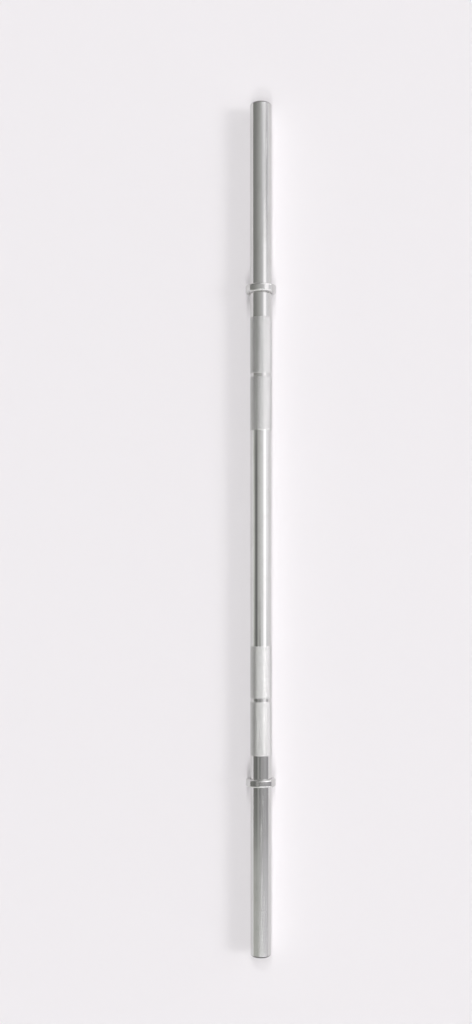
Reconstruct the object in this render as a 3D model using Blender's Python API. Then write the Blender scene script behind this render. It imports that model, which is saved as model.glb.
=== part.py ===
"""Standard barbell: a one-piece chrome bar with two knurled grips and a pinned ring collar at each side.

The bar lies along X with its centre at the origin, as it does on the floor or on a rack. Every length
is a step along the bar, measured from its centre outwards, so each can be changed by itself.
"""

import math

import bmesh
import bpy
from mathutils import Matrix, Vector

# Lengths along one half of the bar, in metres, from the centre outwards
HALF_CENTRE_LENGTH = 0.1515  # smooth centre, to the inner end of a grip
INNER_KNURL_LENGTH = 0.0743
RING_MARK_WIDTH = 0.005  # smooth band that tells the lifter where to hold
OUTER_KNURL_LENGTH = 0.0772
NECK_LENGTH = 0.0335  # smooth, from the grip to the collar
COLLAR_WIDTH = 0.011
SLEEVE_LENGTH = 0.2475  # what plates slide onto

# The bar's section
BAR_DIAMETER = 0.030
END_CHAMFER = 0.0022
RING_MARK_DEPTH = 0.0003

# The diamond knurl: two crossing families of helical grooves
KNURL_CREST = 0.0003  # how far the crests stand above the smooth bar
KNURL_DEPTH = 0.0006  # from a crest to the bottom of a groove
KNURL_DIAMONDS = 24  # diamonds around the bar
KNURL_HELIX = math.radians(30.0)  # angle of a groove from the bar's axis

# The ring collars and the slotted spring pins that hold them
COLLAR_WALL = 0.0062
COLLAR_ROUND = 0.0022  # radius of the ring's outer edges
COLLAR_BORE_CHAMFER = 0.0006
PIN_DIAMETER = 0.005
PIN_WALL = 0.001
PIN_SLOT = 0.0012
PIN_CHAMFER = 0.0006
PIN_RECESS = 0.0015  # from the ring's outer surface down to the pin's end
FIT_GAP = 0.0003  # all round between pieces that touch on the real bar
CUTTER_OVERSHOOT = 0.005  # how far a hole's cutter runs past the ring on each side

# How finely round things are divided
BAR_SIDES = 2 * KNURL_DIAMONDS
COLLAR_SIDES = 32
ROUND_STEPS = 4
HOLE_SIDES = 20
PIN_SIDES = 20
SMOOTH_ANGLE = math.radians(35.0)

# Worked out from the sizes above
BAR_RADIUS = BAR_DIAMETER / 2
KNURL_START = HALF_CENTRE_LENGTH
MARK_START = KNURL_START + INNER_KNURL_LENGTH
MARK_END = MARK_START + RING_MARK_WIDTH
KNURL_END = MARK_END + OUTER_KNURL_LENGTH
COLLAR_INNER_FACE = KNURL_END + NECK_LENGTH
COLLAR_CENTRE = COLLAR_INNER_FACE + COLLAR_WIDTH / 2
COLLAR_OUTER_FACE = COLLAR_INNER_FACE + COLLAR_WIDTH
HALF_LENGTH = COLLAR_OUTER_FACE + SLEEVE_LENGTH
COLLAR_BORE_RADIUS = BAR_RADIUS + FIT_GAP
COLLAR_RADIUS = COLLAR_BORE_RADIUS + COLLAR_WALL
PIN_RADIUS = PIN_DIAMETER / 2
PIN_LENGTH = 2 * (COLLAR_RADIUS - PIN_RECESS)
HOLE_RADIUS = PIN_RADIUS + FIT_GAP
KNURL_CREST_RADIUS = BAR_RADIUS + KNURL_CREST
KNURL_ROOT_RADIUS = KNURL_CREST_RADIUS - KNURL_DEPTH

CHROME = (0.62, 0.62, 0.61, 1.0)
POLISHED_ROUGHNESS = 0.09
KNURLED_ROUGHNESS = 0.35
RING_ROUGHNESS = 0.12
SPRING_STEEL = (0.30, 0.30, 0.31, 1.0)
SPRING_STEEL_ROUGHNESS = 0.42


def clear_scene():
    for obj in list(bpy.data.objects):
        bpy.data.objects.remove(obj, do_unlink=True)


def metal(name, colour, roughness):
    material = bpy.data.materials.new(name)
    material.use_nodes = True
    shader = material.node_tree.nodes["Principled BSDF"]
    shader.inputs["Base Color"].default_value = colour
    shader.inputs["Metallic"].default_value = 1.0
    shader.inputs["Roughness"].default_value = roughness
    return material


def new_object(name, bm, *materials):
    """Makes a smooth-shaded object of the mesh, with edges sharper than SMOOTH_ANGLE left sharp."""
    bmesh.ops.recalc_face_normals(bm, faces=bm.faces)
    mesh = bpy.data.meshes.new(name)
    bm.to_mesh(mesh)
    bm.free()
    mesh.shade_smooth()
    mesh.set_sharp_from_angle(angle=SMOOTH_ANGLE)
    obj = bpy.data.objects.new(name, mesh)
    for material in materials:
        mesh.materials.append(material)
    bpy.context.scene.collection.objects.link(obj)
    return obj


def add_ring(bm, x, radii):
    """Adds one ring of points round the X axis, one for each radius."""
    ring = []
    for index, radius in enumerate(radii):
        angle = math.tau * index / len(radii)
        ring.append(bm.verts.new((x, radius * math.cos(angle), radius * math.sin(angle))))
    return ring


def plain_ring(bm, x, radius):
    return add_ring(bm, x, [radius] * BAR_SIDES)


def knurl_ring(bm, x, row):
    """Adds a row of the knurl, where crests and groove crossings take turns round the bar."""
    heights = (KNURL_CREST_RADIUS, KNURL_ROOT_RADIUS)
    return add_ring(bm, x, [heights[(side + row) % 2] for side in range(BAR_SIDES)])


def skin(bm, first, second):
    """Joins two rings. Each cell is split along its lower diagonal, which is a groove in a knurl."""
    sides = len(first)
    for side in range(sides):
        after = (side + 1) % sides
        a, b = first[side], first[after]
        c, d = second[after], second[side]
        falling = a.co.yz.length + c.co.yz.length
        rising = b.co.yz.length + d.co.yz.length
        if abs(falling - rising) < KNURL_DEPTH / 2:
            bm.faces.new((a, b, c, d))
        elif falling < rising:
            bm.faces.new((a, b, c))
            bm.faces.new((a, c, d))
        else:
            bm.faces.new((a, b, d))
            bm.faces.new((b, c, d))


def knurl_rows(bm, start, end):
    """Rings of diamonds from start to end, with as many whole half diamonds as the length holds."""
    diamond_width = math.tau * BAR_RADIUS / KNURL_DIAMONDS
    half_diamond_length = diamond_width / 2 / math.tan(KNURL_HELIX)
    rows = max(2, round((end - start) / half_diamond_length))
    step = (end - start) / rows
    return [knurl_ring(bm, start + step * (row + 0.5), row) for row in range(rows)]


def bar_rings(bm):
    """Every ring of the bar from its centre out to its right end."""
    mark_radius = BAR_RADIUS - RING_MARK_DEPTH
    rings = [plain_ring(bm, KNURL_START, BAR_RADIUS)]
    rings += knurl_rows(bm, KNURL_START, MARK_START)
    rings.append(plain_ring(bm, MARK_START, mark_radius))
    rings.append(plain_ring(bm, MARK_END, mark_radius))
    rings += knurl_rows(bm, MARK_END, KNURL_END)
    rings.append(plain_ring(bm, KNURL_END, BAR_RADIUS))
    rings.append(plain_ring(bm, COLLAR_INNER_FACE, BAR_RADIUS))
    rings.append(plain_ring(bm, COLLAR_OUTER_FACE, BAR_RADIUS))
    rings.append(plain_ring(bm, HALF_LENGTH - END_CHAMFER, BAR_RADIUS))
    rings.append(plain_ring(bm, HALF_LENGTH, BAR_RADIUS - END_CHAMFER))
    return rings


def mirrored(bm, ring):
    return [bm.verts.new((-vert.co.x, vert.co.y, vert.co.z)) for vert in ring]


def mark_knurled_faces(bm):
    """Gives the faces of the grips the bar's second material."""
    for face in bm.faces:
        away = abs(face.calc_center_median().x)
        in_grip = KNURL_START < away < KNURL_END
        in_mark = MARK_START < away < MARK_END
        face.material_index = int(in_grip and not in_mark)


def make_bar(polished, knurled):
    bm = bmesh.new()
    right = bar_rings(bm)
    left = [mirrored(bm, ring) for ring in right]
    rings = left[::-1] + right
    for first, second in zip(rings, rings[1:]):
        skin(bm, first, second)
    bm.faces.new(rings[0])
    bm.faces.new(rings[-1])
    mark_knurled_faces(bm)
    return new_object("bar", bm, polished, knurled)


def spin_profile(bm, profile, sides):
    """Turns a closed outline of (x, radius) points round the X axis, with a flat side facing each way."""
    half_side = math.pi / sides
    stretch = 1 / math.cos(half_side)
    turn = Matrix.Rotation(half_side, 3, "X")
    verts = [bm.verts.new(turn @ Vector((x, 0, radius * stretch))) for x, radius in profile]
    edges = [bm.edges.new(pair) for pair in zip(verts, verts[1:] + verts[:1])]
    bmesh.ops.spin(
        bm,
        geom=verts + edges,
        cent=(0, 0, 0),
        axis=(1, 0, 0),
        angle=math.tau,
        steps=sides,
        use_merge=True,
    )


def collar_profile():
    """The ring's outline as (x from its middle, radius), with rounded outer edges and a chamfered bore."""
    half = COLLAR_WIDTH / 2
    outline = [
        (-half, COLLAR_BORE_RADIUS + COLLAR_BORE_CHAMFER),
        (-half + COLLAR_BORE_CHAMFER, COLLAR_BORE_RADIUS),
        (half - COLLAR_BORE_CHAMFER, COLLAR_BORE_RADIUS),
        (half, COLLAR_BORE_RADIUS + COLLAR_BORE_CHAMFER),
    ]
    for side in (1, -1):
        steps = range(ROUND_STEPS + 1)
        for step in steps if side > 0 else reversed(steps):
            angle = math.pi / 2 * step / ROUND_STEPS
            x = side * (half - COLLAR_ROUND + COLLAR_ROUND * math.cos(angle))
            radius = COLLAR_RADIUS - COLLAR_ROUND + COLLAR_ROUND * math.sin(angle)
            outline.append((x, radius))
    return outline


def make_collar(name, x, material):
    bm = bmesh.new()
    spin_profile(bm, collar_profile(), COLLAR_SIDES)
    collar = new_object(name, bm, material)
    collar.location.x = x
    return collar


def pin_section(chamfer):
    """The C-shaped section of a slotted spring pin, as (x, z) points round its open tube."""
    outer = PIN_RADIUS - chamfer
    inner = PIN_RADIUS - PIN_WALL
    half_slot = PIN_SLOT / 2
    points = []
    for radius, direction in ((outer, 1), (inner, -1)):
        start = math.asin(half_slot / radius)
        for step in range(PIN_SIDES + 1)[::direction]:
            angle = start + (math.tau - 2 * start) * step / PIN_SIDES
            points.append((radius * math.cos(angle), radius * math.sin(angle)))
    return points


def make_pin(name, x, material):
    """A pin across the bar, along Y, whose slot faces along the bar."""
    half = PIN_LENGTH / 2
    stations = (
        (-half, PIN_CHAMFER),
        (-half + PIN_CHAMFER, 0),
        (half - PIN_CHAMFER, 0),
        (half, PIN_CHAMFER),
    )
    bm = bmesh.new()
    loops = []
    for y, chamfer in stations:
        loops.append([bm.verts.new((px, y, pz)) for px, pz in pin_section(chamfer)])
    for first, second in zip(loops, loops[1:]):
        for index in range(len(first)):
            after = (index + 1) % len(first)
            bm.faces.new((first[index], first[after], second[after], second[index]))
    bm.faces.new(loops[0])
    bm.faces.new(loops[-1])
    pin = new_object(name, bm, material)
    pin.location.x = x
    return pin


def make_hole_cutter(name, x):
    """A round bar across the collar and the bar, along Y, that the pin's hole is cut with."""
    bm = bmesh.new()
    bmesh.ops.create_cone(
        bm,
        cap_ends=True,
        segments=HOLE_SIDES,
        radius1=HOLE_RADIUS,
        radius2=HOLE_RADIUS,
        depth=2 * (COLLAR_RADIUS + CUTTER_OVERSHOOT),
        matrix=Matrix.Rotation(math.pi / 2, 4, "X"),
    )
    cutter = new_object(name, bm)
    cutter.location.x = x
    cutter.hide_render = True
    cutter.display_type = "WIRE"
    return cutter


def cut(obj, cutter):
    drill = obj.modifiers.new("drilled_hole", "BOOLEAN")
    drill.operation = "DIFFERENCE"
    drill.solver = "EXACT"
    drill.object = cutter


def main():
    clear_scene()
    bar = make_bar(
        metal("polished_chrome", CHROME, POLISHED_ROUGHNESS),
        metal("knurled_chrome", CHROME, KNURLED_ROUGHNESS),
    )
    for side, direction in (("left", -1), ("right", 1)):
        x = direction * COLLAR_CENTRE
        collar = make_collar(f"{side}_collar", x, metal(f"{side}_collar_chrome", CHROME, RING_ROUGHNESS))
        cutter = make_hole_cutter(f"{side}_pin_hole_cutter", x)
        cut(collar, cutter)
        cut(bar, cutter)
        make_pin(
            f"{side}_collar_pin",
            x,
            metal(f"{side}_pin_steel", SPRING_STEEL, SPRING_STEEL_ROUGHNESS),
        )


main()
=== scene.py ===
import math

import bmesh
import bpy
from mathutils import Matrix, Vector


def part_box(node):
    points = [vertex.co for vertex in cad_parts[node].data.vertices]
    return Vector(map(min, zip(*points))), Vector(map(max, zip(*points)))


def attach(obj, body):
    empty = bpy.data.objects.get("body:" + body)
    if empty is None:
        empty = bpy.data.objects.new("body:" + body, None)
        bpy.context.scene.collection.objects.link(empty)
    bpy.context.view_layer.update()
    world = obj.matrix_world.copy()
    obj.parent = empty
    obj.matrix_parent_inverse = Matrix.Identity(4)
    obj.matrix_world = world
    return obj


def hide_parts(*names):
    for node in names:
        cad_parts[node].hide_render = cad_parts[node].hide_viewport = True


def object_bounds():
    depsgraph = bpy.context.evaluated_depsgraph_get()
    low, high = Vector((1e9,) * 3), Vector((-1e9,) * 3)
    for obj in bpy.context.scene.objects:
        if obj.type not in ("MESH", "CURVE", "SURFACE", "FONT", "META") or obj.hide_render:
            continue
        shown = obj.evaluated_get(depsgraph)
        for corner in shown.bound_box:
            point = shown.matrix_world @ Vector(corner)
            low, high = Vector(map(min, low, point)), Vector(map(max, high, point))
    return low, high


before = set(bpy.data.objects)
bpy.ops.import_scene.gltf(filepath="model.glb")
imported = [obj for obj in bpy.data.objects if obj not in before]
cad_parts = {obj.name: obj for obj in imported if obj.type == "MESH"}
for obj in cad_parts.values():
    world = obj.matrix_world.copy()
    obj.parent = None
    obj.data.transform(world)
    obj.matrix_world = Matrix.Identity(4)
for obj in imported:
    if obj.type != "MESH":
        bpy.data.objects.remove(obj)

CAD_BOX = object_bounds()

# Lengths are in metres, unless a comment says otherwise

# Places along one half of the bar from its centre, as on the solid bar
KNURL_START = 0.1515
MARK_START = 0.2258
MARK_END = 0.2308
KNURL_END = 0.308

# The bar's section
BAR_RADIUS = 0.015
MARK_RADIUS = 0.0147
END_CHAMFER = 0.0022
EDGE_ROUND = 0.0004
EDGE_SUPPORT = 0.0002  # from a rounded edge to the loop that keeps the face beside it straight

# The knurl at its real pitch
KNURL_DIAMONDS = 50
KNURL_HELIX = math.radians(30.0)
CREST_RADIUS = 0.01511
ROOT_RADIUS = 0.01499
CREST_SHARE = 0.6  # of each diamond's width and length, which its flat top takes up
KNURL_RUNOUT = 0.0003

# The ring collars
COLLAR_ROUND = 0.0022
BORE_CHAMFER = 0.0006
COLLAR_BORE_RADIUS = 0.0153

# The slotted spring pins and their holes
PIN_DIAMETER = 0.005
PIN_WALL = 0.001
PIN_SLOT = 0.0012
PIN_CHAMFER = 0.0006
PIN_EDGE_ROUND = 0.00018
HOLE_RADIUS = 0.0028
HOLE_CHAMFER = 0.0004
CUTTER_OVERSHOOT = 0.005
SLIVER = 0.000001  # edges shorter than this, left by drilling, are closed up

# How finely round things are divided
BAR_SIDES = 2 * KNURL_DIAMONDS
COLLAR_SIDES = 128
HOLE_SIDES = 48
PIN_SIDES = 56
ROUND_STEPS = 8
EDGE_STEPS = 3
SMOOTH_ANGLE = math.radians(30.0)

# The bar's unrolled map, four strips in a square whose side is 1
MAP_SPLIT = 0.321  # from the bar's centre to the cut on each neck
MAP_MARGIN = 0.004  # of the map's side
MAP_STRIPS = 4

# Worked out from the parts in model.glb
BAR_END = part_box("bar")[1].x
FLOOR_HEIGHT = CAD_BOX[0].z

# Colours of the metals
CHROME = (0.68, 0.68, 0.67, 1.0)
CHROME_FILM = (0.64, 0.64, 0.625, 1.0)
FACED_CHROME = (0.56, 0.56, 0.55, 1.0)
# Down the knurl's grooves, darkened as painted shade
SHADED_GROOVE_CHROME = (0.52, 0.52, 0.51, 1.0)
# The end chamfers' steels, far darker than bare steel: wear and painted contact shade
WORN_AND_SHADED_STEEL = (0.05, 0.05, 0.048, 1.0)
SCUFFED_AND_SHADED_STEEL = (0.17, 0.17, 0.165, 1.0)
SPRING_STEEL = (0.30, 0.30, 0.31, 1.0)
SPRING_STEEL_DARK = (0.17, 0.17, 0.18, 1.0)

# Noise in the metals: its grains to a metre each way, and its detail
TURNING = ((2600.0, 35.0, 35.0), 3.0)
FILM = ((28.0, 70.0, 70.0), 3.0)
RUBS = ((14.0, 1300.0, 1300.0), 2.0)
FACING = ((2800.0, 0.0, 0.0), 2.0)
SCUFFS = ((900.0, 420.0, 420.0), 3.0)
KNURL_GRAIN = ((2200.0, 2200.0, 2200.0), 3.0)
KNURL_PATCHES = ((45.0, 90.0, 90.0), 2.0)
KNURL_WEAR = ((340.0, 420.0, 420.0), 2.0)
RING_TURNING = ((2400.0, 2400.0, 0.0), 3.0)
RING_FILM = ((120.0, 90.0, 90.0), 3.0)
DRAWING = ((3000.0, 60.0, 3000.0), 2.0)
HEAT = ((500.0, 300.0, 500.0), 3.0)

# How far each kind of mark stands out
TURNING_HEIGHT = 0.0000010
RUB_HEIGHT = 0.0000015
FACING_HEIGHT = 0.0000020
KNURL_GRAIN_HEIGHT = 0.000010
RING_TURNING_HEIGHT = 0.0000015
DRAWING_HEIGHT = 0.000004

# Where the marks lie on the bar
RUBBED_FROM = (0.350, 0.375)  # from the centre, on the sleeves
# The left end's chamfers are darker than the right end's: wear, and painted contact shade where the
# bar stands on them
RIGHT_END_WEAR_AND_SHADE = 0.7  # against the left end's, on which the bar is stood

# The plain floor
FLOOR_SIZE = 60.0
FLOOR_COLOUR = (0.88, 0.87, 0.88, 1.0)
FLOOR_ROUGHNESS = 0.8
BACKDROP_COLOUR = (0.86, 0.845, 0.855, 1.0)

# The camera looks down on the lying bar as the photograph looks at the standing one
PICTURE_HEIGHT = 1024  # pixels
SENSOR = 36.0  # millimetres along the picture's height
VIEW_LENGTH = 1240  # pixels from the lens to the picture
VIEW_MIDDLE = 140  # pixels that the lens looks below the picture's middle
VIEW_LEFT = 24.85  # pixels that it looks left of the bar
CAMERA_TILT = math.radians(3.6)
CENTRE_UP = 0.1600  # from the camera's axis up to the bar's centre
CENTRE_AWAY = 1.7550  # along that axis to the bar's centre

# The room that the chrome mirrors. Its angles are in degrees round the bar, from straight up to the
# picture's right. A lean is the part of a direction that runs along the bar, to its right end, from
# -1 to 1. A ramp has two angles or leans, and then the light or share at each. Between two leans
# one part of the room turns into the next.
MIDDLE_RAMP = (-50.0, 60.0, 0.50, 1.12)
UPPER_LEANS = (0.11, 0.18)
UPPER_RAMP = (-70.0, 20.0, 0.27, 0.60)
UPPER_RIGHT_RAMP = (0.0, 40.0, 0.0, 0.30)
FOOT_LEANS = (-0.07, -0.13)
FOOT_RAMP = (-80.0, -35.0, 0.21, 0.39)
FOOT_RIGHT_RAMP = (20.0, 50.0, 0.0, 0.05)

# Dark things in the room: where each starts and ends, and how soft its edges are
PANEL_LIGHT = 0.17
PANEL_ANGLES = (-54.0, -48.0, 22.0)
PANEL_LEANS = (-0.21, 0.10, 0.05)
SLAT_ANGLES = (-13.0, -7.0, 10.0)
SLAT_LEANS = (-0.19, -0.07, 0.045)
SLAT_SHARE = 0.75
FRAME_LIGHT = 0.38
HIGH_FRAME_ANGLES = (58.0, 74.0, 10.0)
HIGH_FRAME_RAMP = (0.23, 0.30, 0.0, 0.6)
LOW_FRAME_ANGLES = (68.0, 84.0, 10.0)
LOW_FRAME_RAMP = (0.02, -0.10, 0.0, 0.45)

# The pale wall at the left
WALL_LIGHT = 0.74
WALL_ANGLES = (-64.0, -78.0)
WALL_MIDDLE = 0.03  # the lean at which it comes furthest in
WALL_SPREAD = 140.0  # degrees that its edge draws back for each 1 of lean

# Past what the smooth bar mirrors
PAST_FOOT_LEANS = (-0.19, -0.245)
PAST_FOOT_RAMP = (-60.0, 50.0, 0.56, 0.68)
HIGH_LEANS = (0.36, 0.42)
HIGH_RAMP = (-22.0, 50.0, 0.05, 3.9)
TOP_LEANS = (0.54, 0.59)
TOP_RAMP = (-60.0, 60.0, 0.30, 0.80)
LOW_LEANS = (-0.32, -0.37)
LOW_RAMP = (-32.0, -2.0, 0.15, 5.8)
LOW_RIGHT_RAMP = (15.0, 75.0, 1.0, 0.6)
BOTTOM_LEANS = (-0.49, -0.53)
BOTTOM_RAMP = (-50.0, -5.0, 0.90, 0.45)

# The room's tint at its left and at its right
TINT_ANGLES = (-60.0, 50.0)
LEFT_TINT = (0.99, 1.0, 0.955, 1.0)
RIGHT_TINT = (0.985, 0.97, 1.0, 1.0)
ROOM_ON_FLOOR = 0.15  # how much of the mirrored room's light the floor gets

# The lamps. Their angles are in degrees too, and a lamp along the bar leans towards its right end.
LAMP_COLOUR = (1.0, 0.976, 0.992)
WINDOW_ANGLE = 44.0
WINDOW_DISTANCE = 8.0
WINDOW_SHIFT = 0.71
WINDOW_SIZE = (3.96, 4.6)
WINDOW_BRIGHTNESS = 0.36
OVERHEAD_ROW = range(-42, 43, 14)  # along the bar
OVERHEAD_ANGLE = -2.0
OVERHEAD_STRENGTH = 1.955  # of the whole row, in watts per square metre
OVERHEAD_SOFTNESS = 7.0
SIDE_ANGLE = 52.0
SIDE_STRENGTH = 0.80
SIDE_SOFTNESS = 18.0


class Shader:
    """Adds and wires the nodes of one material or world."""

    def __init__(self, tree):
        self.tree = tree

    def node(self, kind, **settings):
        made = self.tree.nodes.new(kind)
        for name, value in settings.items():
            setattr(made, name, value)
        return made

    def feed(self, socket, value):
        if isinstance(value, bpy.types.NodeSocket):
            self.tree.links.new(value, socket)
        else:
            socket.default_value = value

    def math(self, operation, *values):
        made = self.node("ShaderNodeMath", operation=operation)
        for socket, value in zip(made.inputs, values):
            self.feed(socket, value)
        return made.outputs[0]

    def plus(self, value, *extras):
        """The value and, for each pair of a share and an amount, that share of the amount."""
        for share, amount in extras:
            value = self.math("ADD", value, self.math("MULTIPLY", share, amount))
        return value

    def between(self, value, start, end, low=0.0, high=1.0):
        """Goes smoothly from low at start to high at end."""
        made = self.node("ShaderNodeMapRange", interpolation_type="SMOOTHSTEP")
        for name, number in (
            ("Value", value),
            ("From Min", start),
            ("From Max", end),
            ("To Min", low),
            ("To Max", high),
        ):
            self.feed(made.inputs[name], number)
        return made.outputs["Result"]

    def band(self, value, start, end, soft):
        """1 from start to end, and 0 past a soft edge on each side."""
        rise = self.between(value, start - soft, start)
        fall = self.between(value, end, end + soft, 1.0, 0.0)
        return self.math("MULTIPLY", rise, fall)

    def blend(self, share, first, second):
        """The first number where share is 0, and the second where it is 1."""
        made = self.node("ShaderNodeMix", data_type="FLOAT")
        self.feed(made.inputs[0], share)
        self.feed(made.inputs[2], first)
        self.feed(made.inputs[3], second)
        return made.outputs[0]

    def tint(self, share, first, second):
        """The first colour where share is 0, and the second where it is 1."""
        made = self.node("ShaderNodeMix", data_type="RGBA")
        self.feed(made.inputs[0], share)
        self.feed(made.inputs[6], first)
        self.feed(made.inputs[7], second)
        return made.outputs[2]

    def combine(self, *values):
        made = self.node("ShaderNodeCombineXYZ")
        for socket, value in zip(made.inputs, values):
            self.feed(socket, value)
        return made.outputs[0]

    def separate(self, vector):
        made = self.node("ShaderNodeSeparateXYZ")
        self.feed(made.inputs[0], vector)
        return made.outputs[0], made.outputs[1], made.outputs[2]

    def noise(self, vector, grains, detail):
        """Noise from 0 to 1, with so many grains to each metre of the vector."""
        scaled = self.node("ShaderNodeVectorMath", operation="MULTIPLY")
        self.feed(scaled.inputs[0], vector)
        self.feed(scaled.inputs[1], grains)
        made = self.node("ShaderNodeTexNoise")
        self.feed(made.inputs["Vector"], scaled.outputs[0])
        self.feed(made.inputs["Scale"], 1.0)
        self.feed(made.inputs["Detail"], detail)
        return made.outputs["Fac"]

    def bump(self, height, distance, under=None):
        made = self.node("ShaderNodeBump")
        self.feed(made.inputs["Strength"], 1.0)
        self.feed(made.inputs["Distance"], distance)
        self.feed(made.inputs["Height"], height)
        if under is not None:
            self.feed(made.inputs["Normal"], under)
        return made.outputs["Normal"]


def new_metal(name):
    """A new material, its shader, and where a point lies on the part."""
    material = bpy.data.materials.new(name)
    material.use_nodes = True
    shader = Shader(material.node_tree)
    return material, shader, shader.node("ShaderNodeTexCoord").outputs["Object"]


def finish_metal(shader, colour, roughness, normal):
    principled = shader.tree.nodes["Principled BSDF"]
    principled.inputs["Metallic"].default_value = 1.0
    shader.feed(principled.inputs["Base Color"], colour)
    shader.feed(principled.inputs["Roughness"], roughness)
    shader.feed(principled.inputs["Normal"], normal)


def along_and_off_axis(shader, place):
    """How far along the bar a place lies, and how far from its axis."""
    x, y, z = shader.separate(place)
    squares = [shader.math("MULTIPLY", value, value) for value in (y, z)]
    return x, shader.math("SQRT", shader.math("ADD", *squares))


def polished_chrome():
    """Ground and polished, with a film, rubs on the sleeves and faced ends. The end chamfers are
    dark bare steel, from wear and from painted contact shade, darkest at the left end, on which the
    bar stands.
    """
    material, shader, place = new_metal("polished_chrome")
    x, radius = along_and_off_axis(shader, place)
    away = shader.math("ABSOLUTE", x)

    turning = shader.noise(place, *TURNING)
    filmed = shader.between(shader.noise(place, *FILM), 0.45, 0.75)
    on_sleeve = shader.between(away, *RUBBED_FROM)
    rubbed = shader.between(shader.noise(place, *RUBS), 0.60, 0.72)
    rubbed = shader.math("MULTIPLY", rubbed, on_sleeve)

    on_face = shader.between(away, BAR_END - EDGE_ROUND / 4, BAR_END - EDGE_ROUND / 8)
    facing = shader.noise(shader.combine(radius, 0.0, 0.0), *FACING)
    faced = shader.math("MULTIPLY", on_face, shader.between(facing, 0.35, 0.65))

    chamfer_start = BAR_END - END_CHAMFER
    face_edge = BAR_RADIUS - END_CHAMFER
    past_sleeve = shader.between(away, chamfer_start - EDGE_ROUND, chamfer_start)
    round_face = shader.between(radius, face_edge - EDGE_ROUND, face_edge)
    # The chamfers' dark steel is wear and painted contact shade, the left end's the darker
    worn_and_shaded = shader.math("MULTIPLY", past_sleeve, round_face)
    wear = shader.between(x, -BAR_END, BAR_END, 1.0, RIGHT_END_WEAR_AND_SHADE)
    worn_and_shaded = shader.math("MULTIPLY", worn_and_shaded, wear)
    scuffed = shader.between(shader.noise(place, *SCUFFS), 0.42, 0.66)

    colour = shader.tint(filmed, CHROME, CHROME_FILM)
    colour = shader.tint(faced, colour, FACED_CHROME)
    colour = shader.tint(worn_and_shaded, colour, shader.tint(scuffed, WORN_AND_SHADED_STEEL, SCUFFED_AND_SHADED_STEEL))
    roughness = shader.blend(filmed, 0.095, 0.12)
    roughness = shader.plus(roughness, (worn_and_shaded, 0.15), (turning, 0.03), (rubbed, 0.10))
    normal = shader.bump(turning, TURNING_HEIGHT)
    normal = shader.bump(rubbed, RUB_HEIGHT, normal)
    normal = shader.bump(faced, FACING_HEIGHT, normal)
    finish_metal(shader, colour, roughness, normal)
    return material


def knurled_chrome():
    """Bright on the tops of the diamonds, whose wear varies, and darker down the grooves with
    painted shade.
    """
    material, shader, place = new_metal("knurled_chrome")
    radius = along_and_off_axis(shader, place)[1]
    raised = shader.between(radius, ROOT_RADIUS, CREST_RADIUS)
    wear = shader.between(shader.noise(place, *KNURL_WEAR), 0.35, 0.60, 0.55, 1.0)
    bright = shader.math("MULTIPLY", raised, wear)
    patches = shader.noise(place, *KNURL_PATCHES)
    # Darker down the grooves: painted groove shade
    colour = shader.tint(bright, SHADED_GROOVE_CHROME, CHROME)
    roughness = shader.plus(shader.blend(bright, 0.28, 0.13), (patches, 0.06))
    normal = shader.bump(shader.noise(place, *KNURL_GRAIN), KNURL_GRAIN_HEIGHT)
    finish_metal(shader, colour, roughness, normal)
    return material


def turned_chrome():
    """The rings' chrome, with turning marks that follow their faces and their rims."""
    material, shader, place = new_metal("turned_chrome")
    x, radius = along_and_off_axis(shader, place)
    turning = shader.noise(shader.combine(x, radius, 0.0), *RING_TURNING)
    filmed = shader.between(shader.noise(place, *RING_FILM), 0.45, 0.75)
    colour = shader.tint(filmed, CHROME, CHROME_FILM)
    roughness = shader.plus(shader.blend(filmed, 0.09, 0.15), (turning, 0.05))
    finish_metal(shader, colour, roughness, shader.bump(turning, RING_TURNING_HEIGHT))
    return material


def spring_steel():
    """Oiled spring steel, drawn along the pin, with darker heat marks."""
    material, shader, place = new_metal("spring_steel")
    heat = shader.noise(place, *HEAT)
    colour = shader.tint(shader.between(heat, 0.35, 0.70), SPRING_STEEL, SPRING_STEEL_DARK)
    roughness = shader.blend(heat, 0.34, 0.50)
    normal = shader.bump(shader.noise(place, *DRAWING), DRAWING_HEIGHT)
    finish_metal(shader, colour, roughness, normal)
    return material


def new_object(name, mesh, *materials):
    for material in materials:
        mesh.materials.append(material)
    obj = bpy.data.objects.new(name, mesh)
    bpy.context.scene.collection.objects.link(obj)
    return obj


def finished_mesh(name, bm):
    bmesh.ops.recalc_face_normals(bm, faces=bm.faces)
    mesh = bpy.data.meshes.new(name)
    bm.to_mesh(mesh)
    bm.free()
    return mesh


def around(bm, x, radius, steps):
    """Points round the X axis at the given steps of the bar's sides."""
    angles = [math.tau / BAR_SIDES * step for step in steps]
    return [bm.verts.new((x, radius * math.cos(a), radius * math.sin(a))) for a in angles]


def smooth_ring(bm, x, radius):
    return around(bm, x, radius, range(BAR_SIDES))


def skin(bm, first, second):
    """Joins two loops of as many points, point to point."""
    sides = len(first)
    for side in range(sides):
        after = (side + 1) % sides
        bm.faces.new((first[side], first[after], second[after], second[side]))


def knurl_edge(bm, smooth, roots, tops):
    """Joins a smooth ring to the cut end of the knurl, whose half diamonds stand across it."""
    for index, (near, far) in enumerate(tops):
        start = smooth[2 * index]
        middle = smooth[2 * index + 1]
        end = smooth[(2 * index + 2) % len(smooth)]
        bm.faces.new((start, middle, near, roots[index]))
        bm.faces.new((middle, far, near))
        bm.faces.new((middle, end, roots[(index + 1) % len(roots)], far))


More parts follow.
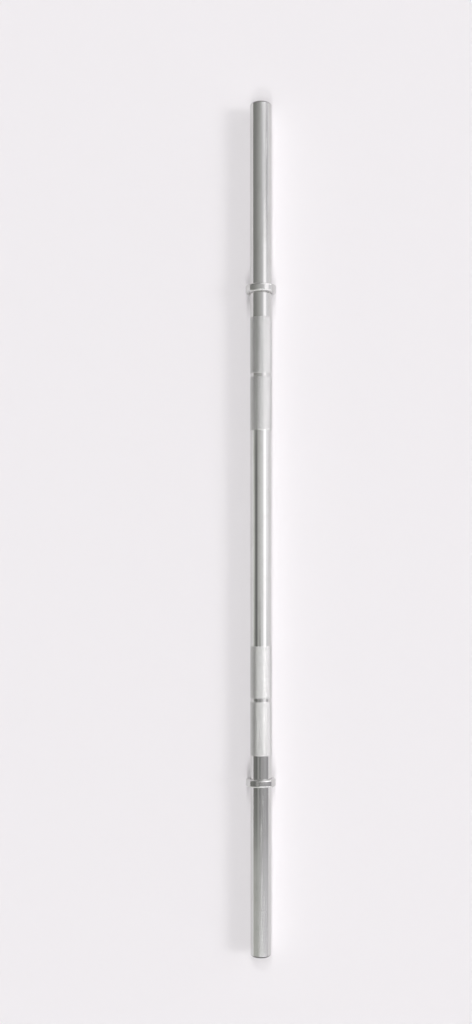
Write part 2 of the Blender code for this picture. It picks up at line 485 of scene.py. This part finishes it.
def diamond_row(bm, row, x, half_length, roots):
    """Makes the diamonds whose middles lie on one row of groove crossings.

    roots gives each row's crossings. Returns the two side corners of each diamond's flat top, which
    close the knurl at its ends.
    """
    shift = 1 - row % 2
    tops = []
    for index in range(KNURL_DIAMONDS):
        middle = 2 * index + shift
        near_root = roots[row][(index - (1 - shift)) % KNURL_DIAMONDS]
        far_root = roots[row][(index + shift) % KNURL_DIAMONDS]
        near, far = around(bm, x, CREST_RADIUS, (middle - CREST_SHARE, middle + CREST_SHARE))
        tops.append((near, far))
        flat = [near]
        if row > 0:
            back_root = roots[row - 1][index]
            (back,) = around(bm, x - half_length * CREST_SHARE, CREST_RADIUS, (middle,))
            flat.append(back)
            bm.faces.new((near_root, near, back, back_root))
            bm.faces.new((back_root, back, far, far_root))
        flat.append(far)
        if row < len(roots) - 1:
            front_root = roots[row + 1][index]
            (front,) = around(bm, x + half_length * CREST_SHARE, CREST_RADIUS, (middle,))
            flat.append(front)
            bm.faces.new((far_root, far, front, front_root))
            bm.faces.new((front_root, front, near, near_root))
        bm.faces.new(flat)
    return tops


def add_knurl(bm, start, end):
    """Cuts the diamonds between two new smooth rings, which it returns."""
    first = start + KNURL_RUNOUT
    last = end - KNURL_RUNOUT
    width = math.tau * BAR_RADIUS / KNURL_DIAMONDS
    half_length = width / 2 / math.tan(KNURL_HELIX)
    rows = 2 * round((last - first) / half_length / 2)
    half_length = (last - first) / rows
    places = [first + half_length * row for row in range(rows + 1)]
    roots = []
    for row, x in enumerate(places):
        steps = [2 * index + row % 2 for index in range(KNURL_DIAMONDS)]
        roots.append(around(bm, x, ROOT_RADIUS, steps))
    tops = [diamond_row(bm, row, x, half_length, roots) for row, x in enumerate(places)]
    rings = []
    for x, row in ((start, 0), (end, rows)):
        ring = smooth_ring(bm, x, BAR_RADIUS)
        knurl_edge(bm, ring, roots[row], tops[row])
        rings.append(ring)
    return rings


def rounded_end():
    """The chamfered end as (x, radius) points from the sleeve to the end face, its edges broken."""
    slope = math.pi / 4
    setback = EDGE_ROUND * math.tan(slope / 2)
    centres = (
        (BAR_END - END_CHAMFER - setback, BAR_RADIUS - EDGE_ROUND, 0.0),
        (BAR_END - EDGE_ROUND, BAR_RADIUS - END_CHAMFER - setback, slope),
    )
    points = []
    for x, radius, lean in centres:
        for step in range(EDGE_STEPS + 1):
            angle = lean + slope * step / EDGE_STEPS
            points.append((x + EDGE_ROUND * math.sin(angle), radius + EDGE_ROUND * math.cos(angle)))
    return points


def add_half_bar(bm):
    """Everything from the centre out to the right end."""
    inner = add_knurl(bm, KNURL_START, MARK_START)
    outer = add_knurl(bm, MARK_END, KNURL_END)
    skin(bm, smooth_ring(bm, 0.0, BAR_RADIUS), inner[0])
    mark = [
        smooth_ring(bm, x, MARK_RADIUS)
        for x in (MARK_START + KNURL_RUNOUT, MARK_END - KNURL_RUNOUT)
    ]
    skin(bm, inner[1], mark[0])
    skin(bm, mark[0], mark[1])
    skin(bm, mark[1], outer[0])
    collar_low, collar_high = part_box("right_collar")
    end = rounded_end()
    plain = (MAP_SPLIT, collar_low.x, collar_high.x, end[0][0] - EDGE_SUPPORT)
    stations = [(x, BAR_RADIUS) for x in plain] + end
    last = outer[1]
    for x, radius in stations:
        ring = smooth_ring(bm, x, radius)
        skin(bm, last, ring)
        last = ring
    bm.faces.new(last)


def bar_mesh():
    bm = bmesh.new()
    add_half_bar(bm)
    half = bm.verts[:] + bm.edges[:] + bm.faces[:]
    other = bmesh.ops.duplicate(bm, geom=half)["geom"]
    mirror = Matrix.Scale(-1.0, 4, Vector((1, 0, 0)))
    copied = [item for item in other if isinstance(item, bmesh.types.BMVert)]
    bmesh.ops.transform(bm, matrix=mirror, verts=copied)
    seam = [vert for vert in bm.verts if abs(vert.co.x) < KNURL_RUNOUT]
    bmesh.ops.remove_doubles(bm, verts=seam, dist=EDGE_ROUND / 10)
    return finished_mesh("chrome_bar", bm)


def hole_cutter(x, reach):
    """A round cutter along Y whose ends flare, so that the hole's edges are broken."""
    mouth = HOLE_RADIUS + HOLE_CHAMFER + CUTTER_OVERSHOOT
    stations = (
        (-reach - CUTTER_OVERSHOOT, mouth),
        (-reach + HOLE_CHAMFER, HOLE_RADIUS),
        (reach - HOLE_CHAMFER, HOLE_RADIUS),
        (reach + CUTTER_OVERSHOOT, mouth),
    )
    bm = bmesh.new()
    loops = []
    for y, radius in stations:
        loop = []
        for side in range(HOLE_SIDES):
            angle = math.tau * side / HOLE_SIDES
            loop.append(bm.verts.new((x + radius * math.cos(angle), y, radius * math.sin(angle))))
        loops.append(loop)
    for first, second in zip(loops, loops[1:]):
        skin(bm, first, second)
    bm.faces.new(loops[0])
    bm.faces.new(loops[-1])
    return new_object("hole_cutter", finished_mesh("hole_cutter", bm))


def drill(obj, *cutters):
    """Cuts the holes and keeps the result as the object's own mesh."""
    for cutter in cutters:
        hole = obj.modifiers.new("hole", "BOOLEAN")
        hole.operation = "DIFFERENCE"
        hole.solver = "EXACT"
        hole.object = cutter
    graph = bpy.context.evaluated_depsgraph_get()
    mesh = bpy.data.meshes.new_from_object(obj.evaluated_get(graph))
    obj.modifiers.clear()
    bm = bmesh.new()
    bm.from_mesh(mesh)
    bmesh.ops.dissolve_degenerate(bm, edges=bm.edges[:], dist=SLIVER)
    bm.to_mesh(mesh)
    bm.free()
    old = obj.data
    obj.data = mesh
    bpy.data.meshes.remove(old)


def shade(mesh, flat_slot=None):
    """Smooth all over, but for sharp edges and the faces of one material slot."""
    mesh.shade_smooth()
    mesh.set_sharp_from_angle(angle=SMOOTH_ANGLE)
    for face in mesh.polygons:
        if face.material_index == flat_slot:
            face.use_smooth = False


def set_knurl_slot(mesh):
    """Gives the grips' faces the second material."""
    for face in mesh.polygons:
        away = abs(face.center.x)
        in_grip = KNURL_START < away < KNURL_END
        in_mark = MARK_START < away < MARK_END
        face.material_index = int(in_grip and not in_mark)


def collar_outline():
    """A ring's outline as (x from its middle, radius), with rounded edges and a chamfered bore."""
    low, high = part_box("right_collar")
    half = (high.x - low.x) / 2
    top = high.y
    bore = [
        (-half, COLLAR_BORE_RADIUS + BORE_CHAMFER),
        (-half + BORE_CHAMFER, COLLAR_BORE_RADIUS),
        (half - BORE_CHAMFER, COLLAR_BORE_RADIUS),
        (half, COLLAR_BORE_RADIUS + BORE_CHAMFER),
    ]
    right = [(half, top - COLLAR_ROUND - EDGE_SUPPORT)]
    for step in range(ROUND_STEPS + 1):
        angle = math.pi / 2 * step / ROUND_STEPS
        x = half - COLLAR_ROUND + COLLAR_ROUND * math.cos(angle)
        right.append((x, top - COLLAR_ROUND + COLLAR_ROUND * math.sin(angle)))
    right.append((half - COLLAR_ROUND - EDGE_SUPPORT, top))
    left = [(-x, radius) for x, radius in reversed(right)]
    return bore + right + left


def collar_mesh(name, x):
    """The ring as one outline after another round the X axis."""
    outline = collar_outline()
    bm = bmesh.new()
    loops = []
    for side in range(COLLAR_SIDES):
        angle = math.tau * side / COLLAR_SIDES
        y, z = -math.sin(angle), math.cos(angle)
        loop = [bm.verts.new((x + along, y * radius, z * radius)) for along, radius in outline]
        loops.append(loop)
    for first, second in zip(loops, loops[1:] + loops[:1]):
        skin(bm, first, second)
    return finished_mesh(name, bm)


def pin_section(chamfer):
    """The C-shaped section of a slotted spring pin as (x, z) points, its slot towards +X."""
    outer = PIN_DIAMETER / 2 - chamfer
    inner = PIN_DIAMETER / 2 - PIN_WALL
    points = []
    for radius, direction in ((outer, 1), (inner, -1)):
        start = math.asin(PIN_SLOT / 2 / radius)
        for step in range(PIN_SIDES + 1)[::direction]:
            angle = start + (math.tau - 2 * start) * step / PIN_SIDES
            points.append((radius * math.cos(angle), radius * math.sin(angle)))
    return points


def pin_mesh(name, x, half_length):
    """A slotted spring pin along Y, whose tapered ends are rounded off."""
    stations = [
        (-half_length, PIN_CHAMFER),
        (-half_length + PIN_CHAMFER, PIN_EDGE_ROUND / 2),
        (-half_length + PIN_CHAMFER + PIN_EDGE_ROUND, 0.0),
    ]
    stations += [(-y, chamfer) for y, chamfer in reversed(stations)]
    bm = bmesh.new()
    loops = []
    for y, chamfer in stations:
        loops.append([bm.verts.new((x + across, y, z)) for across, z in pin_section(chamfer)])
    for first, second in zip(loops, loops[1:]):
        skin(bm, first, second)
    bm.faces.new(loops[0])
    bm.faces.new(loops[-1])
    return finished_mesh(name, bm)


def unroll(mesh):
    """Lays the bar out flat on its bake map.

    Its four lengths lie as strips above each other, and each end face in its strip's spare end.
    """
    layer = mesh.uv_layers.new(name="OFBake")
    starts = (-BAR_END, -MAP_SPLIT, 0.0, MAP_SPLIT)
    strip = (1 - (MAP_STRIPS + 1) * MAP_MARGIN) / MAP_STRIPS
    scale = (1 - 2 * MAP_MARGIN) / MAP_SPLIT
    across = strip / (math.tau * BAR_RADIUS)
    end_face = MAP_MARGIN + (BAR_END - MAP_SPLIT + 1.5 * BAR_RADIUS) * scale
    for face in mesh.polygons:
        centre = face.center
        index = max(i for i, start in enumerate(starts) if centre.x >= start or i == 0)
        bottom = MAP_MARGIN + index * (strip + MAP_MARGIN)
        lowest = bottom - MAP_MARGIN / 2
        highest = bottom + strip + MAP_MARGIN / 2
        at_end = abs(centre.x) > BAR_END - END_CHAMFER / 2
        flat_end = at_end and abs(face.normal.x) > 0.99
        middle = math.atan2(centre.z, centre.y)
        for corner in face.loop_indices:
            place = mesh.vertices[mesh.loops[corner].vertex_index].co
            if flat_end:
                u = end_face + place.y * scale
                v = bottom + strip / 2 + place.z * across
            else:
                angle = math.atan2(place.z, place.y)
                angle += math.tau * round((middle - angle) / math.tau)
                u = MAP_MARGIN + (place.x - starts[index]) * scale
                v = bottom + strip * (0.5 + angle / math.tau)
            layer.uv[corner].vector = (u, min(max(v, lowest), highest))


def make_bar(cutters):
    bar = new_object("chrome_bar", bar_mesh(), polished_chrome(), knurled_chrome())
    drill(bar, *cutters)
    set_knurl_slot(bar.data)
    shade(bar.data, flat_slot=1)
    unroll(bar.data)
    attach(bar, "root")
    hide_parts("bar")
    return bar


def make_collar(side, chrome, cutter):
    node = f"{side}_collar"
    low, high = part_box(node)
    ring = new_object(f"{side}_ring_collar", collar_mesh(node, (low.x + high.x) / 2), chrome)
    drill(ring, cutter)
    shade(ring.data)
    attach(ring, "root")
    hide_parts(node)
    return ring


def make_pin(side, steel):
    node = f"{side}_collar_pin"
    low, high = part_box(node)
    pin = new_object(f"{side}_spring_pin", pin_mesh(node, (low.x + high.x) / 2, high.y), steel)
    shade(pin.data)
    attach(pin, "root")
    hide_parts(node)
    return pin


def make_barbell():
    """Makes the barbell's pieces, which it returns."""
    cutters = {}
    for side in ("left", "right"):
        low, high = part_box(f"{side}_collar")
        cutters[side] = hole_cutter((low.x + high.x) / 2, high.y)
    pieces = [make_bar(cutters.values())]
    chrome = turned_chrome()
    steel = spring_steel()
    for side, cutter in cutters.items():
        pieces.append(make_collar(side, chrome, cutter))
        pieces.append(make_pin(side, steel))
    for cutter in cutters.values():
        bpy.data.objects.remove(cutter, do_unlink=True)
    return pieces


def floor_material():
    material = bpy.data.materials.new("pale_floor")
    material.use_nodes = True
    principled = material.node_tree.nodes["Principled BSDF"]
    principled.inputs["Base Color"].default_value = FLOOR_COLOUR
    principled.inputs["Roughness"].default_value = FLOOR_ROUGHNESS
    principled.inputs["Specular IOR Level"].default_value = 0.0
    return material


def make_floor():
    bm = bmesh.new()
    bmesh.ops.create_grid(bm, x_segments=1, y_segments=1, size=FLOOR_SIZE / 2)
    floor = new_object("floor", finished_mesh("floor", bm), floor_material())
    floor.location.z = FLOOR_HEIGHT


def make_camera():
    """Stands straight over the bar, tilted along it."""
    camera = bpy.data.objects.new("camera", bpy.data.cameras.new("camera"))
    camera.data.sensor_width = SENSOR
    camera.data.lens = SENSOR * VIEW_LENGTH / PICTURE_HEIGHT
    camera.data.shift_x = -VIEW_LEFT / PICTURE_HEIGHT
    camera.data.shift_y = VIEW_MIDDLE / PICTURE_HEIGHT
    right = Vector((0, -1, 0))
    up = Vector((math.cos(CAMERA_TILT), 0, -math.sin(CAMERA_TILT)))
    back = Vector((math.sin(CAMERA_TILT), 0, math.cos(CAMERA_TILT)))
    turn = Matrix((right, up, back)).transposed().to_4x4()
    place = back * CENTRE_AWAY - up * CENTRE_UP
    camera.matrix_world = Matrix.Translation(place) @ turn
    bpy.context.scene.collection.objects.link(camera)
    bpy.context.scene.camera = camera


def room_light(shader, angle, lean):
    """The mirrored room's light, from the angle round the bar and the lean along it."""
    # The room grows lighter from left to right, and higher along the bar its left is darker
    light = shader.between(angle, *MIDDLE_RAMP)
    upper = shader.math(
        "ADD",
        shader.between(angle, *UPPER_RAMP),
        shader.between(angle, *UPPER_RIGHT_RAMP),
    )
    light = shader.blend(shader.between(lean, *UPPER_LEANS), light, upper)
    # Low along the bar the chrome mirrors the grey foot of the room
    foot = shader.math(
        "ADD",
        shader.between(angle, *FOOT_RAMP),
        shader.between(angle, *FOOT_RIGHT_RAMP),
    )
    light = shader.blend(shader.between(lean, *FOOT_LEANS), light, foot)

    # A dark panel and a slat make the chrome's black lines
    panel = shader.math(
        "MULTIPLY",
        shader.band(angle, *PANEL_ANGLES),
        shader.band(lean, *PANEL_LEANS),
    )
    light = shader.blend(panel, light, PANEL_LIGHT)
    slat = shader.math(
        "MULTIPLY",
        shader.band(angle, *SLAT_ANGLES),
        shader.band(lean, *SLAT_LEANS),
    )
    light = shader.blend(shader.math("MULTIPLY", slat, SLAT_SHARE), light, PANEL_LIGHT)
    # Right of the window a frame darkens the room at both ends
    high_frame = shader.math(
        "MULTIPLY",
        shader.band(angle, *HIGH_FRAME_ANGLES),
        shader.between(lean, *HIGH_FRAME_RAMP),
    )
    low_frame = shader.math(
        "MULTIPLY",
        shader.band(angle, *LOW_FRAME_ANGLES),
        shader.between(lean, *LOW_FRAME_RAMP),
    )
    light = shader.blend(shader.math("MAXIMUM", high_frame, low_frame), light, FRAME_LIGHT)

    # The middle of the bar mirrors most of the pale wall at the left
    away = shader.math("ABSOLUTE", shader.math("SUBTRACT", lean, WALL_MIDDLE))
    edge = shader.plus(angle, (away, WALL_SPREAD))
    light = shader.blend(shader.between(edge, *WALL_ANGLES), light, WALL_LIGHT)

    # From here on only worked edges and the knurl mirror the room, first past its foot
    past_foot = shader.between(angle, *PAST_FOOT_RAMP)
    light = shader.blend(shader.between(lean, *PAST_FOOT_LEANS), light, past_foot)
    # Past the right end it is bright at the right, and then pale
    high = shader.between(angle, *HIGH_RAMP)
    light = shader.blend(shader.between(lean, *HIGH_LEANS), light, high)
    top = shader.between(angle, *TOP_RAMP)
    light = shader.blend(shader.between(lean, *TOP_LEANS), light, top)
    # Past the left end it is bright but for its left side, and then pale
    low = shader.math(
        "MULTIPLY",
        shader.between(angle, *LOW_RAMP),
        shader.between(angle, *LOW_RIGHT_RAMP),
    )
    light = shader.blend(shader.between(lean, *LOW_LEANS), light, low)
    bottom = shader.between(angle, *BOTTOM_RAMP)
    return shader.blend(shader.between(lean, *BOTTOM_LEANS), light, bottom)


def make_world():
    """The room for the chrome, a plain backdrop for the camera and a little light for the floor."""
    world = bpy.data.worlds.new("studio")
    bpy.context.scene.world = world
    world.use_nodes = True
    shader = Shader(world.node_tree)
    lean, y, z = shader.separate(shader.node("ShaderNodeTexCoord").outputs["Generated"])
    right = shader.math("MULTIPLY", y, -1.0)
    angle = shader.math("DEGREES", shader.math("ARCTAN2", right, z))

    tinted = shader.node("ShaderNodeVectorMath", operation="SCALE")
    tint = shader.tint(shader.between(angle, *TINT_ANGLES), LEFT_TINT, RIGHT_TINT)
    shader.feed(tinted.inputs[0], tint)
    shader.feed(tinted.inputs["Scale"], room_light(shader, angle, lean))
    rays = shader.node("ShaderNodeLightPath").outputs
    seen = shader.tint(rays["Is Camera Ray"], tinted.outputs[0], BACKDROP_COLOUR)
    strength = shader.blend(rays["Is Diffuse Ray"], 1.0, ROOM_ON_FLOOR)
    background = world.node_tree.nodes["Background"]
    shader.feed(background.inputs["Color"], seen)
    shader.feed(background.inputs["Strength"], strength)


def add_lamp(name, kind, angle, along=0.0):
    """A lamp at an angle from straight up towards the picture's right, and another along the bar.

    Also returns the way from the bar to it.
    """
    lamp = bpy.data.lights.new(name, kind)
    lamp.color = LAMP_COLOUR
    obj = bpy.data.objects.new(name, lamp)
    across = Matrix.Rotation(math.radians(angle), 4, "X")
    turn = across @ Matrix.Rotation(math.radians(along), 4, "Y")
    obj.matrix_world = turn
    obj.visible_camera = False
    bpy.context.scene.collection.objects.link(obj)
    return obj, turn.to_3x3() @ Vector((0, 0, 1))


def make_window(pieces):
    """A soft panel that the chrome pieces mirror and that leaves the floor alone."""
    obj, away = add_lamp("window", "AREA", WINDOW_ANGLE)
    obj.location = away * WINDOW_DISTANCE + Vector((WINDOW_SHIFT, 0, 0))
    obj.data.shape = "RECTANGLE"
    obj.data.size, obj.data.size_y = WINDOW_SIZE
    obj.data.energy = 4 * WINDOW_BRIGHTNESS * obj.data.size * obj.data.size_y
    obj.visible_diffuse = False
    lit = bpy.data.collections.new("lit_by_window")
    for piece in pieces:
        lit.objects.link(piece)
    obj.light_linking.receiver_collection = lit


def make_daylight(name, angle, along, strength, softness):
    """Even light for the floor, which the chrome does not mirror."""
    obj, _ = add_lamp(name, "SUN", angle, along)
    obj.data.energy = strength / math.cos(math.radians(along))
    obj.data.angle = math.radians(softness)
    obj.visible_glossy = False


def make_all_daylight():
    strength = OVERHEAD_STRENGTH / len(OVERHEAD_ROW)
    for along in OVERHEAD_ROW:
        name = f"overhead_{along:+d}"
        make_daylight(name, OVERHEAD_ANGLE, along, strength, OVERHEAD_SOFTNESS)
    make_daylight("side_daylight", SIDE_ANGLE, 0.0, SIDE_STRENGTH, SIDE_SOFTNESS)


barbell = make_barbell()
make_floor()
make_camera()
make_world()
make_window(barbell)
make_all_daylight()
bpy.context.scene.view_settings.view_transform = "Standard"
